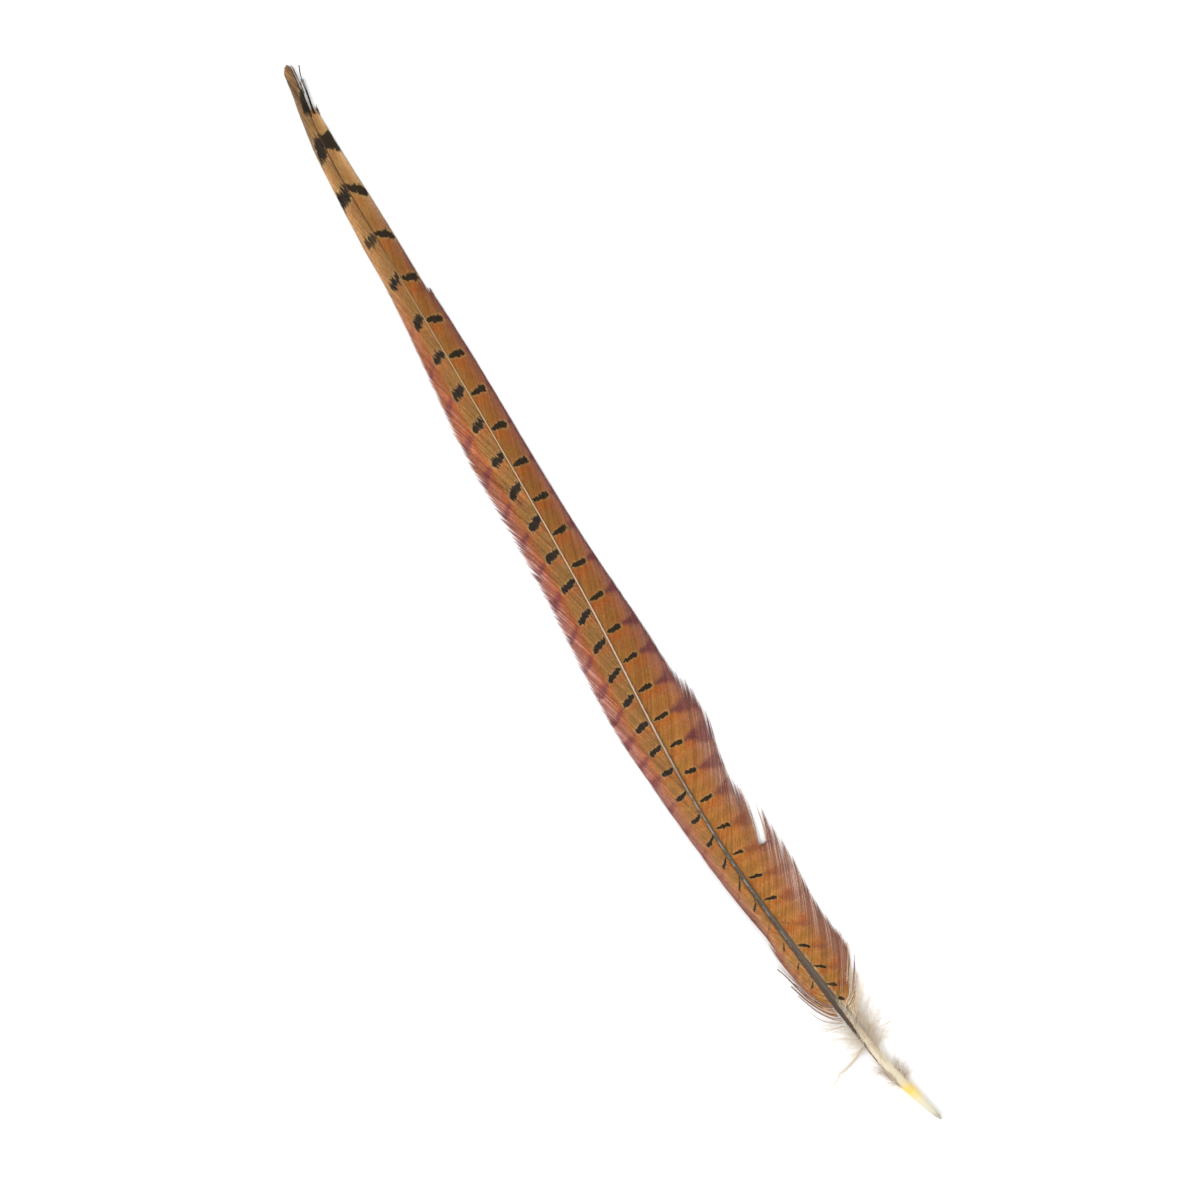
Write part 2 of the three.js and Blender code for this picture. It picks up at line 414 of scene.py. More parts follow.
leftWeb = {
    "toLeft": 1,
    "roots": (-180.2, 238.8),
    "edge": [[-155, 10.3], [-150, 10.3], [-140, 9.9], [-124, 12.3], [-101, 14.5], [-70, 16.5], [-48, 17.5],
             [-27, 16.5], [12, 13], [50, 11.1], [70, 10.7], [93, 8.4], [128, 3.9], [147, 2], [166, 1.2],
             [186, -0.35], [204, -2.1], [222, -5.2], [230, -7], [236, -8], [238.4, -8.5], [239.9, -9.4],
             [240.7, -10.5], [241, -11.2]],
    "reach": [[-180.2, 27.5], [-170, 34], [-100, 42], [60, 40], [150, 32], [205, 26], [220, 16.5], [226, 12],
              [230, 8.5], [234, 5.9], [237, 3.7], [238.8, 2.1]],
    "raggedBars": [[-190, 0.1], [-60, 0.14], [20, 0.26], [150, 0.65]],
    "rimBack": 0.2,  # how much less of the tips' own colour a barb has where it doesn't fray
    "bend": [[-181, 0.2], [-177, 0.22], [-165, 0.5], [-145, 0.78], [240, 0.78]],
    "bow": [[-181, 1], [-177, 0.95], [-160, 0.7], [-140, 0.38], [240, 0.35]],
    "fray": [[-189, 0.5], [-150, 0.25], [-100, 0.3], [-60, 0.4], [0, 0.55], [40, 0.45], [70, 0.3],
             [100, 0.22], [140, 0.15], [200, 0.12], [240, 0.2]],
    "lockSize": (2, 6),
    # along the feather, thickness, start and end from the shaft, slant towards the quill, strength
    "bars": [
        [-196, 1, 1, 2, 1, 0], [-183, 1, 1, 2, 1, 0], [-169.9, 1.1, 0.7, 3.1, 0.8, 0.9],
        [-160.6, 1.1, 1, 2.7, 0.9, 0.9], [-151.5, 1.2, 1, 2.9, 1.1, 0.9], [-141.7, 1.2, 0.8, 3.1, 0.9, 0.3],
        [-132.3, 1.3, 0.5, 3.6, 0.9, 0.95], [-121.6, 1.2, 0.2, 3.3, 1.3, 1], [-111.7, 1.3, 0.2, 3.9, 0.66, 1],
        [-101.9, 1.7, 0.2, 4.4, 0.33, 1], [-91.7, 1.75, 0.3, 4.9, 0.12, 1], [-81.1, 1.8, 0.3, 5.3, 0.12, 1],
        [-70.2, 2.2, 0.5, 5.4, 0, 1], [-60.7, 2.25, 0.5, 5.9, 0.17, 1], [-50.1, 2.6, 0.5, 6.5, 0.22, 1],
        [-38.6, 2.8, 0.6, 6.1, 0.4, 1], [-27.2, 2.5, 0.5, 7.1, 0.3, 1], [-14.5, 2.8, 0.5, 6.9, 0.38, 1],
        [-2, 2.9, 0.4, 6.8, 0.34, 1], [11.3, 2.9, 0.3, 6.7, 0.2, 1], [24.5, 3.4, 0.2, 6.2, 0.16, 1],
        [38.6, 4, 0.2, 5.9, 0.34, 1], [53.2, 4, 0.2, 6.2, 0.5, 1], [66.9, 3.8, 0.2, 5.9, 0.22, 1],
        [82.4, 3.9, 0.2, 5.7, 0.4, 1], [97.3, 4.4, 0.2, 5.8, 0.28, 1], [112.9, 3.9, 0.2, 5.4, 0.4, 1],
        [129, 4.6, 0.2, 4.9, 0.45, 1], [147.1, 4.2, 0.1, 5.1, 0.6, 1], [165.2, 4.2, 0, 5, -0.1, 0.9],
        [185.1, 6.5, -0.4, 5.6, 0.55, 1], [206.3, 10.5, -1.5, 3.4, 0.3, 1], [224.8, 8.5, -2, 1.7, 0, 0.95],
        [246, 1, 0, 1, 0, 0]],
    "gaps": [],
    # loose barbs and hairs: kind, how many, how far apart, half width, and the path they follow
    "strays": [
        ("dark", 1, 0.6, 0.1, [(47.4, 1.1), (55, 3.2), (63.9, 6.4), (69.7, 8.4)]),
        ("barb", 2, 0.8, 0.19, [(-186.7, 1.5), (-184.7, 4.3), (-179.2, 7.9), (-170.5, 10.8)]),
        ("barb", 3, 0.6, 0.2, [(-184.7, 1.9), (-181.5, 5.1), (-174.4, 8.7), (-165.8, 11.2)]),
        ("barb", 2, 0.5, 0.18, [(-182.6, 2.1), (-179.8, 4.6), (-173.2, 7.6), (-167.3, 9.2), (-163.4, 10.9)]),
        ("barb", 4, 0.6, 0.2, [(-181.4, 2.4), (-179.2, 5.2), (-171.3, 8.7), (-161.8, 10.8), (-157.4, 12.3)]),
        ("barb", 2, 0.9, 0.15, [(-180.4, 2.4), (-178, 4.2), (-173.2, 6.5), (-167.5, 8.3), (-161.5, 10.2),
                                (-156.5, 11.4)]),
        ("pale", 2, 0.8, 0.1, [(-188, 1.2), (-186.8, 4.5), (-183, 8.4), (-176.5, 11)]),
        ("pale", 2, 0.8, 0.1, [(-182.3, 2.2), (-180.2, 5), (-174.6, 8), (-168.5, 9.9)]),
        ("barb", 4, 0.9, 0.15, [(-182.6, 1.2), (-181.2, 3), (-178.8, 4.8), (-175.6, 6.4)]),
        ("cream", 4, 1.1, 0.12, [(-183.4, 1.4), (-181.6, 3.6), (-178.4, 5.8), (-173.6, 8)]),
    ],
    "look": {
        "tipBlend": (0.72, 0.86), "quillBlend": (0.2, 0.48), "downyBlend": (0.108, 0.132), "gloss": 0.12,
        "grain": 0.9, "dusk": (98, 80, 60), "duskBlend": (0.942, 0.968), "duskShare": 0.92, "hook": 0.9,
        "wisp": (220, 178, 166), "wispShare": 0.45, "wispBlend": (0.36, 0.44),
        "middle": [(0, (151, 108, 64)), (0.38, (155, 108, 60)), (0.46, (168, 117, 68)), (0.57, (170, 93, 50)),
                   (0.8, (176, 112, 94)), (1, (182, 130, 128))],
        "quillward": [(0, (166, 114, 60)), (0.4, (182, 124, 68)), (0.6, (192, 136, 90)),
                      (0.78, (172, 118, 92)), (1, (144, 102, 90))],
        "ember": (168, 99, 62), "emberBlend": (0.55, 0.68), "emberShare": 0.8,
        "beside": (222, 192, 152), "besideShare": 0.3,
        "tipward": [(0, (147, 107, 62)), (0.45, (166, 122, 74)), (0.65, (190, 142, 88)),
                    (0.82, (200, 152, 102)), (1, (198, 160, 120))],
        "rust": (178, 92, 34), "rustShare": 0.4, "olive": (142, 104, 48), "oliveShare": 0.35,
        "patch": (120, 58, 70), "patchShare": 0.75, "patchTipward": 0.0, "patchQuillward": 0.62,
        "bar": (50, 41, 33), "barRim": (170, 140, 96), "club": 0.12, "streak": 0.8,
        "hair": (214, 178, 168), "rootHair": (118, 80, 72), "hairBlend": (0.36, 0.44), "hairShare": 0.5,
        "hairFade": 0.6, "downy": (226, 200, 172),
    },
}
rightWeb = {
    "toLeft": -1,
    "roots": (-184.3, 221),
    "edge": [[-173, -14.6], [-168.5, -16.2], [-160, -16], [-152, -15.2], [-140, -14.8], [-123, -16.1],
             [-114, -15.8], [-104, -15.4], [-100, -15.2], [-96, -13.6], [-85, -11.9], [-70, -14.1],
             [-55, -17.5], [-37, -14.9], [-8, -13.9], [21, -12.7], [50, -12.5], [108, -13.4], [126, -13.3],
             [136, -13.1], [138.4, -13], [139.2, -12.15], [141, -12.05], [150, -12.15], [166, -12.4],
             [204, -12.2], [216, -12.4], [222, -12.6], [232, -13.1], [250, -13.6]],
    "reach": [[-184.3, 21.5], [-178, 26], [-172, 29], [-150, 35], [-130, 39.5], [-60, 40], [0, 36], [100, 32],
              [200, 26], [222, 20]],
    "raggedBars": [[-190, 0.07], [-60, 0.11], [20, 0.14], [150, 0.22], [210, 0.45]],
    "rimBack": 0.05,
    "bend": [[-184, 1.05], [-170, 0.98], [-140, 0.88], [-60, 0.85], [240, 0.8]],
    "bow": [[-184, 0.5], [-100, 0.5], [0, 0.4], [240, 0.35]],
    "lockSize": (3, 9),
    "fray": [[-191, 0.7], [-181, 0.75], [-150, 0.9], [-120, 0.85], [-95, 0.8], [-80, 0.65], [-70, 0.25],
             [-55, 0.12], [0, 0.08], [200, 0.1], [222, 0.2]],
    "bars": [
        [-198, 1, 1, 2, 1, 0], [-188, 1, 1, 2, 1, 0], [-180, 1.5, 0.4, 2.6, 0.5, 0.95],
        [-173.2, 1.5, 0.4, 3.7, 0.72, 0.9], [-164.9, 1.4, 0.6, 4.6, 0.79, 0.95],
        [-154.8, 1.5, 0.8, 4.3, 0.8, 1], [-143.8, 1.3, 1, 4, 0.7, 0.25], [-132.5, 1.4, 1.1, 5.8, 0.4, 1],
        [-122.1, 1.35, 1.3, 6.1, 0.36, 1], [-110.7, 1.2, 1.2, 5.4, 0.25, 1], [-99.1, 1.55, 1.5, 6.8, 0.22, 1],
        [-86.6, 1.5, 1.3, 6.9, 0, 1], [-74.3, 1.8, 1.4, 6.5, 0.18, 1], [-62.4, 1.6, 1.5, 7.1, 0.1, 1],
        [-50.4, 1.7, 1, 7.4, 0, 1], [-37.8, 1.8, 0.8, 6.9, 0.04, 1], [-24.8, 1.8, 0.7, 7.2, 0, 1],
        [-12, 2.1, 0.5, 6.4, 0.05, 1], [2.2, 2.1, 0.5, 6.4, -0.03, 1], [16.7, 2.2, 0.4, 6.4, 0.08, 1],
        [31.4, 2.3, 0.4, 6.5, 0, 1], [46.3, 2.3, 0.4, 6.7, 0.08, 1], [62, 2.5, 0.4, 6.4, 0.1, 1],
        [78.2, 2.5, 0.3, 6.4, 0.08, 1], [94, 2.6, 0.3, 6.4, 0, 1], [110.5, 2.8, 0.2, 6.2, 0.15, 1],
        [126.5, 3.2, 0.2, 6, 0.38, 1], [145.5, 3.1, 0.1, 6.1, 0.4, 1], [164.9, 3.4, 0.1, 6.2, 0.6, 1],
        [185.4, 4.6, -0.2, 6.2, 0.8, 1], [207, 8.4, -1, 7, 0.3, 1], [226.2, 6.4, -1, 7, 0, 0.9],
        [246, 1, 0, 1, 0, 0]],
    "gaps": [
        {"at": -113.2, "inner": 11.6, "outer": 15.4, "ragged": 0.15},
        {"at": 220.9, "inner": 0.3, "outer": 9.0, "ragged": 1.0},
    ],
    "strays": [
        ("dark", 3, 0.35, 0.22, [(219.4, -10.5), (223.5, -11.4), (228.5, -12.5), (234.3, -13.8),
                                 (238.3, -15.4)]),
        ("dark", 4, 0.4, 0.24, [(219.2, -10.7), (223, -11.6), (227.5, -12.6), (232.6, -13.6)]),
        ("dark", 6, 0.5, 0.24, [(219.6, -9), (223, -9.9), (226.5, -10.5), (230, -11.2)]),
        ("dark", 2, 0.5, 0.16, [(228, -11.4), (232, -12.1), (235, -12.4), (239.8, -12.7)]),
        ("barb", 2, 0.6, 0.14, [(229.6, -11.6), (231.8, -12.4), (233, -13.4)]),
        ("pale", 1, 0.6, 0.12, [(37.7, -6.7), (40.5, -8.0), (43.5, -9.3)]),
        ("barb", 4, 0.9, 0.13, [(-184.6, -3.8), (-181.9, -7.1), (-177.3, -10.4), (-172.6, -13.6),
                                (-168.6, -16)]),
        ("cream", 3, 1.1, 0.1, [(-184.2, -3.6), (-181.6, -6.8), (-177.1, -10.1), (-172.8, -13.2)]),
        ("cream", 5, 1.1, 0.15, [(-185.4, -3.7), (-183, -7.2), (-179.4, -10.3), (-174.8, -13.4)]),
        ("barb", 3, 1.2, 0.09, [(-185, -3.8), (-182.6, -7.4), (-178.9, -10.6), (-174.9, -13)]),
        ("cream", 2, 0.5, 0.12, [(-182.4, -3.6), (-180.2, -6.4), (-176.6, -9), (-171.6, -12)]),
        ("cream", 4, 1.3, 0.1, [(-186.6, -3.4), (-184.6, -7.6), (-181.7, -11), (-177.8, -14.4)]),
        ("pale", 2, 1.2, 0.12, [(-178, -4), (-172, -8.2), (-165.5, -12), (-160, -14.6)]),
        ("cream", 3, 1.6, 0.1, [(-177, -8.4), (-171.6, -11.8), (-167, -14.6), (-162.6, -16.7)]),
        ("pale", 5, 1.5, 0.11, [(-175, -7.6), (-169.6, -11), (-164, -13.8), (-158, -16.2)]),
        ("barb", 2, 0.3, 0.2, [(-113.1, -6.5), (-113.5, -9.5), (-113.9, -12.6)]),
        ("dark", 3, 1.0, 0.2, [(218.6, -12.1), (219.9, -12.5), (221.3, -12.9)]),
    ],
    "look": {
        "tipBlend": (0.8, 0.93), "quillBlend": (0.2, 0.52), "downyBlend": (0.112, 0.134), "gloss": 0.05,
        "grain": 0.6,
        "dusk": (112, 84, 60), "duskBlend": (0.985, 1.0), "duskShare": 0.4, "hook": 0.0,
        "wisp": (214, 184, 166), "wispShare": 0.5, "wispBlend": (0.4, 0.3),
        "ember": (112, 68, 46), "emberBlend": (0.6, 0.75), "emberShare": 0.5,
        "beside": (226, 194, 150), "besideShare": 0.75,
        "middle": [(0, (150, 99, 50)), (0.45, (154, 96, 48)), (0.68, (156, 98, 62)), (0.85, (140, 92, 76)),
                   (1, (108, 68, 66))],
        "quillward": [(0, (174, 116, 56)), (0.35, (182, 120, 64)), (0.55, (172, 114, 74)),
                      (0.75, (152, 106, 86)), (1, (148, 106, 94))],
        "tipward": [(0, (162, 122, 74)), (0.4, (168, 125, 76)), (0.6, (180, 137, 86)), (0.8, (194, 152, 104)),
                    (1, (206, 172, 132))],
        "rust": (172, 88, 34), "rustShare": 0.45, "olive": (140, 98, 42), "oliveShare": 0.4,
        "patch": (98, 52, 58), "patchShare": 0.86, "patchTipward": 0.26, "patchQuillward": 0.46,
        "bar": (50, 41, 30), "barRim": (166, 138, 84), "club": 0.35, "streak": 0.54,
        "hair": (98, 58, 58), "rootHair": (192, 154, 136), "hairBlend": (0.36, 0.42), "hairShare": 0.6,
        "hairFade": 0.0, "downy": (230, 206, 170),
    },
}


def bakePlace(x, row):
    return perCorner((x - bakeSheet["from"]) / (bakeSheet["to"] - bakeSheet["from"]), row)


def webWidth(web, x):
    toLeft = web["toLeft"]
    return np.maximum(0.4, toLeft * (curveThrough(web["edge"])(x) - shaftSide(x)) - shaftHalf(x))


def webHeight(web, x, out):  # how high the web lies at this distance out from the shaft
    width = webWidth(web, x)
    root = shaftMiddle(x) + 0.2 * shaftDepth(x)
    droop = np.minimum(root - feather["webClear"], width * feather["steepestDroop"])
    return np.maximum(feather["webClear"], root - droop * easeBetween(out / width, 0, 0.9))


def webNormal(web, x, out):
    step = 0.5
    alongSlope = (webHeight(web, x + step, out) - webHeight(web, x - step, out)) / (2 * step)
    outSlope = (webHeight(web, x, out + step) - webHeight(web, x, np.maximum(0, out - step))) / (2 * step)
    normal = np.stack((-alongSlope, -web["toLeft"] * outSlope, np.ones_like(x)), axis=-1)
    return normal / np.linalg.norm(normal, axis=-1, keepdims=True)


def barbLine(web, root, t):  # where an unruffled barb runs: steep away from the shaft, then swept to the tip
    reach = curveThrough(web["reach"])(root)
    span = webWidth(web, root + reach)
    bend = curveThrough(web["bend"])(root)
    bow = curveThrough(web["bow"])(root)
    x = root + reach * (bend * t + (1 - bend) * t * t)
    out = span * t * (1 + bow * (1 - t))
    return x, out


def lockedTips(web, roots):  # barbs cling in locks of a few, whose tips draw together and part from the next
    fray = curveThrough(web["fray"])(roots)
    lean, out, lift = (np.zeros(len(roots)) for _ in range(3))
    first = 0
    while first < len(roots):
        members = slice(first, first + int(chance.integers(*web["lockSize"])))
        middle = roots[members].mean()
        pinch = fray[members] * chance.uniform(0.3, 1.0)
        lean[members] = -pinch * (roots[members] - middle) + fray[members] * chance.normal(0, 0.7)
        out[members] = fray[members] * chance.normal(0, 0.35)
        lift[members] = fray[members] * chance.uniform(0, 0.9)
        first = members.stop
    return fray, lean, out, lift


def growWeb(name, web):
    roots = np.arange(*web["roots"], barbs["gap"])
    roots = roots + chance.uniform(-0.15, 0.15, len(roots)) * barbs["gap"]
    count = len(roots)
    fray, lean, outShift, lift = lockedTips(web, roots)
    ends = 1 + fray * chance.uniform(-0.06, 0.05, count) + chance.normal(0, 0.006, count)
    fine = np.linspace(0, 1, 60)
    broken = np.zeros(count, bool)
    for gap in web["gaps"]:
        x, out = barbLine(web, roots[:, None], fine[None, :])
        reached = np.argmax(x >= gap["at"], axis=1)
        outThere = out[np.arange(count), reached]
        cut = (x[:, -1] > gap["at"]) & (reached > 0) & (outThere > gap["inner"]) & (outThere < gap["outer"])
        ragged = chance.uniform(-1, 1, count) * gap["ragged"] / 30
        ends = np.where(cut, np.minimum(ends, fine[reached] + ragged), ends)
        broken |= cut
        fray, lean, outShift, lift = (np.where(cut, 0, ruffle) for ruffle in (fray, lean, outShift, lift))
    t = np.linspace(0, 1, barbs["steps"])[None, :] * ends[:, None]
    x, out = barbLine(web, roots[:, None], t)
    nextX, nextOut = barbLine(web, roots[:, None] + barbs["gap"], t)
    alongX, alongOut = np.gradient(x, axis=1), np.gradient(out, axis=1)
    length = np.hypot(alongX, alongOut)
    apart = np.abs((nextX - x) * alongOut - (nextOut - out) * alongX) / length
    freeFrom = (1 - 0.5 * np.maximum(fray, 0.02))[:, None]
    free = np.clip((t - freeFrom) / (1 - freeFrom), 0, 1.2) ** 1.3
    ruffledX = x + lean[:, None] * free
    ruffledOut = np.maximum(out + outShift[:, None] * free, barbs["innermost"])
    swell = 0.12 * np.sin(x / 11 + 0.3 * out) + 0.1 * np.sin(x / 4.3 - 0.5 * out)
    z = webHeight(web, ruffledX, ruffledOut) + swell * np.clip(out / 4, 0, 1) + lift[:, None] * free
    z = np.maximum(z, barbs["leastHeight"])
    tucked = barbs["tuck"] * easeBetween(ruffledX, *barbs["tuckBetween"])
    y = shaftSide(ruffledX) + web["toLeft"] * (shaftHalf(ruffledX) * 0.8 - tucked + ruffledOut)
    paths = np.stack((ruffledX, y, z), axis=-1)
    taperFrom = (0.95 - 0.3 * fray)[:, None]
    endShare = t / ends[:, None]
    taper = 1 - 0.9 * np.clip((endShare - taperFrom) / (1 - taperFrom), 0, 1) ** 1.2
    halfWidths = np.maximum(0.5 * apart * barbs["overlap"], barbs["leastHalfWidth"]) * taper
    ridges = np.full_like(x, barbs["ridge"]) * (0.4 + 0.6 * taper)
    tilts = np.full_like(x, barbs["tilt"]) * taper
    points, faces = ribbons(paths, webNormal(web, ruffledX, ruffledOut), halfWidths, ridges, tilts)

    jitter = chance.normal(0, 1, count) * chance.choice((0.7, 1, 1.9), count, p=(0.5, 0.35, 0.15))
    jitter = (jitter + 0.5 * np.roll(jitter, 1) + 0.5 * np.roll(jitter, -1))[:, None]
    unevenness = curveThrough(web["raggedBars"])(x)
    bars = np.array(web["bars"])
    order = np.arange(len(bars))
    thick, start, end, slant, strength = (
        curveThrough(np.column_stack((bars[:, 0], column)))(x) for column in bars[:, 1:].T)
    gap = curveThrough(np.column_stack((bars[:, 0], np.gradient(bars[:, 0]))))(x)
    phase = curveThrough(np.column_stack((bars[:, 0], order)))(x + jitter * unevenness)
    bundles = np.interp(roots, np.arange(-195, 245, 1.4), chance.uniform(0, 1, 315))
    tones = 0.5 * chance.uniform(0, 1, count) + 0.5 * bundles
    along = endShare - web["rimBack"] * (1 - np.clip(fray / 0.6, 0, 1))[:, None] - 0.3 * broken[:, None]
    values = {
        "web": perCorner(phase, out, out / webWidth(web, x), gap),
        "mark": perCorner(thick / 2 * chance.uniform(0.8, 1.15, (count, 1)), (end - start) / 2, start, slant),
        "fibre": perCorner(tones[:, None] * np.ones_like(x), along, strength, stationOf(x)),
    }
    bakePlaces = bakePlace(x, out / bakeSheet["width"])
    points, faces, values, bakePlaces = addStrays(web, points, faces, values, bakePlaces)
    piece = meshPiece(name, points, faces, vaneMaterial(name + "Finish", web["look"]), values, bakePlaces)
    print(name, count, "barbs", len(faces), "faces")
    return piece


def smoothPath(corners, steps):
    places = np.linspace(0, len(corners) - 1, steps)
    return np.stack([curveThrough(list(enumerate(column)))(places) for column in zip(*corners)], axis=-1)


def addStrays(web, points, faces, values, bakePlaces):  # barbs and hairs that lie loose on or beside the web
    steps = 12
    t = np.linspace(0, 1, steps)
    ones = np.ones((1, steps))
    for kind, count, spread, wide, path in web["strays"]:
        for i in range(count):
            aside = (i - (count - 1) / 2) * spread * (1 - 0.8 * t)
            x, y = smoothPath(path, steps).T
            x = x + aside + chance.normal(0, 0.12) * t * (count > 1)
            y = y + chance.normal(0, 0.22) * t ** 2 * (count > 1)
            out = np.maximum(0, web["toLeft"] * (y - shaftSide(x)) - shaftHalf(x))
            z = webHeight(web, x, out) + 0.3 + 0.15 * i
            paths = np.stack((x, y, z), axis=-1)[None]
            ups = np.broadcast_to((0.0, 0.0, 1.0), paths.shape)
            widths = wide * np.linspace(1, 0.35, steps)[None]
            hair, hairFaces = ribbons(paths, ups, widths, widths * 0.4, 0 * widths)
            faces = joinFaces(faces, hairFaces, len(points))
            points = np.concatenate((points, hair))
            away, thick = (0.0, 5.0) if kind == "dark" else (0.5, 0.05)
            tip = {"pale": 1.1, "cream": -1.2}.get(kind, 0.3 + 0.7 * t[None]) * ones
            share = (1 if kind == "barb" else 0.6) * (0.4 + 0.6 * t[None])
            tone = chance.uniform(*((0.4, 1) if kind in ("pale", "cream") else (0, 0.25)))
            rows = {
                "web": perCorner(away * ones, 5.0, share, 10.0),
                "mark": perCorner(thick * ones, 5.0, 0.0, 0.0),
                "fibre": perCorner(tone * ones, tip, 1.0, stationOf(x[None])),
            }
            values = {label: np.concatenate((values[label], rows[label])) for label in values}
            bakePlaces = np.concatenate((bakePlaces, bakePlace(x[None], bakeSheet["strayRow"])))
    return points, faces, values, bakePlaces


leftBarbs = growWeb("leftVaneBarbs", leftWeb)
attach(leftBarbs, "root")
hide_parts("left_vane")
rightBarbs = growWeb("rightVaneBarbs", rightWeb)
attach(rightBarbs, "root")
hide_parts("right_vane")


shaftParts = {  # it is drawn out station by station from a small round
    "sides": 16,
    "stations": [-240.5, -240, -239.2, -237.6, -235, -232, -228, -224, -220, -215, -210, -204, -198, -192,
                 -186, -178, -170, -160, -150, -138, -126, -112, -98, -84, -70, -54, -38, -20, 0, 20, 40,
                 62, 84, 106, 128, 150, 170, 190, 208, 224, 234, 239.2],
    "grooveFrom": -175.0,
    "grooveDepth": 0.3,
    # from the quill's end at 0 to the tip at 1
    "colours": [
        (0, (170, 164, 144)), (0.01, (210, 205, 184)), (0.022, (222, 214, 184)), (0.029, (232, 208, 130)),
        (0.035, (234, 200, 104)), (0.042, (214, 202, 174)), (0.07, (216, 203, 178)), (0.09, (206, 190, 164)),
        (0.108, (150, 132, 110)), (0.12, (98, 86, 74)), (0.26, (92, 83, 72)), (0.3, (102, 91, 78)),
        (0.34, (136, 118, 101)), (0.39, (188, 162, 140)), (0.47, (200, 172, 148)), (0.7, (190, 160, 120)),
        (0.8, (166, 132, 88)), (0.84, (106, 74, 44)), (0.91, (96, 66, 40)), (0.925, (52, 40, 32)),
        (1, (56, 42, 33))],
}


def shaftMaterial():
    material, tree, shader = newMaterial("shaftHorn", roughness=0.5, specular=0.2)
    station, across, _, _ = readValues(tree, "shaft")
    grain = noise(tree, 500.0, 4.0)
    unevenness = grain - 0.5
    wavyAcross = unevenness.scaled(1.1, across)
    body = unevenness.scaled(0.012, station).ramp(shaftParts["colours"])

    # the dark left side of the quill, which widens over the whole shaft where the webs begin
    leftFrom = 0.74 - station.step(0.055, 0.118)
    leftEdge = wavyAcross.step(leftFrom, leftFrom + 0.3)
    quillDark = station.step(0.048, 0.054) * (1 - station.step(0.3, 0.36))
    edgeColour = station.step(0.05, 0.085).mix((142, 112, 80), (76, 62, 50))
    body = (leftEdge * quillDark).mix(body, edgeColour)

    # painted shade along the sides of the pale rachis, brown and darkest on its right side, and a painted
    # highlight flecked along the ridge before it
    rachis = station.step(0.24, 0.34)
    # painted shade: the right side of the rachis darkened to brown
    body = ((1 - wavyAcross.step(-0.6, -0.05)) * rachis * 0.85).mix(body, (84, 64, 46))
    # painted shade: a softer brown darkening along the left edge, faded out towards the tip
    leftEdgeShade = across.step(0.4, 0.8) * 0.75 * (1 - station.step(0.86, 0.915))
    body = (leftEdgeShade * rachis).mix(body, (110, 84, 58))
    # painted highlight: pale grey flecks along the shaft's top, a little left of its middle
    ridge = (1 - abs(across - 0.2).step(0.1, 0.5)) * grain.step(0.46, 0.62)
    pale = station.step(0.12, 0.28) * (1 - station.step(0.34, 0.4))
    body = (ridge * pale * 0.65).mix(body, (166, 158, 147))
    tree.links.new(body, shader.inputs["Base Color"])
    dullness = station.step(0.74, 0.84).scaled(0.4, 0.5)
    tree.links.new(dullness.socket, shader.inputs["Roughness"])
    addBumps(tree, shader, grain, strength=0.3, depth=0.0002)
    return material


def makeShaft():
    stations = shaftParts["stations"]

    def centre(x):
        return Vector((x, float(shaftSide(x)), float(shaftMiddle(x)))) * mm

    bpy.ops.mesh.primitive_circle_add(vertices=shaftParts["sides"], radius=1 * mm, fill_type="NGON",
                                      location=centre(stations[0]), rotation=(0, math.pi / 2, 0))
    piece = bpy.context.object
    piece.name = piece.data.name = "featherShaft"
    bpy.ops.object.transform_apply(location=True, rotation=True, scale=True)
    bpy.ops.object.mode_set(mode="EDIT")
    bpy.ops.mesh.select_mode(type="FACE")
    bpy.ops.mesh.select_all(action="SELECT")
    bpy.ops.transform.resize(value=(1, float(shaftHalf(stations[0])), float(shaftDepth(stations[0]))),
                             center_override=centre(stations[0]))
    for before, x in zip(stations, stations[1:]):
        bpy.ops.mesh.extrude_region_move(
            TRANSFORM_OT_translate={"value": centre(x) - centre(before)})
        bpy.ops.transform.resize(
            value=(1, float(shaftHalf(x) / shaftHalf(before)), float(shaftDepth(x) / shaftDepth(before))),
            center_override=centre(x))
    bpy.ops.mesh.select_all(action="SELECT")
    bpy.ops.mesh.normals_make_consistent(inside=False)
    bpy.ops.object.mode_set(mode="OBJECT")
    for vertex in piece.data.vertices:
        x, y, z = (value / mm for value in vertex.co)
        aside = abs(y - float(shaftSide(x))) / float(shaftHalf(x))
        under = z < float(shaftMiddle(x)) and x > shaftParts["grooveFrom"]
        if under and aside < 0.5:
            vertex.co.z += shaftParts["grooveDepth"] * float(shaftDepth(x)) * (1 - 2 * aside) * mm
    smooth = piece.modifiers.new("smooth", "SUBSURF")
    smooth.levels = smooth.render_levels = 2
    bpy.ops.object.modifier_apply(modifier="smooth")
    bpy.ops.object.shade_smooth()
    places = np.empty(len(piece.data.vertices) * 3)
    piece.data.vertices.foreach_get("co", places)
    x, y, z = (places.reshape(-1, 3) / mm).T
    across = (y - shaftSide(x)) / shaftHalf(x)
    up = (z - shaftMiddle(x)) / shaftDepth(x)
    values = np.stack((stationOf(x), across, up, np.ones_like(x)), axis=-1)
    layer = piece.data.attributes.new("shaft", "FLOAT_COLOR", "POINT")
    layer.data.foreach_set("color", values.astype(np.float32).ravel())
    piece.data.materials.append(shaftMaterial())
    print("shaft", len(piece.data.polygons), "faces")
    return piece


shaftPiece = makeShaft()
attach(shaftPiece, "root")
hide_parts("shaft")


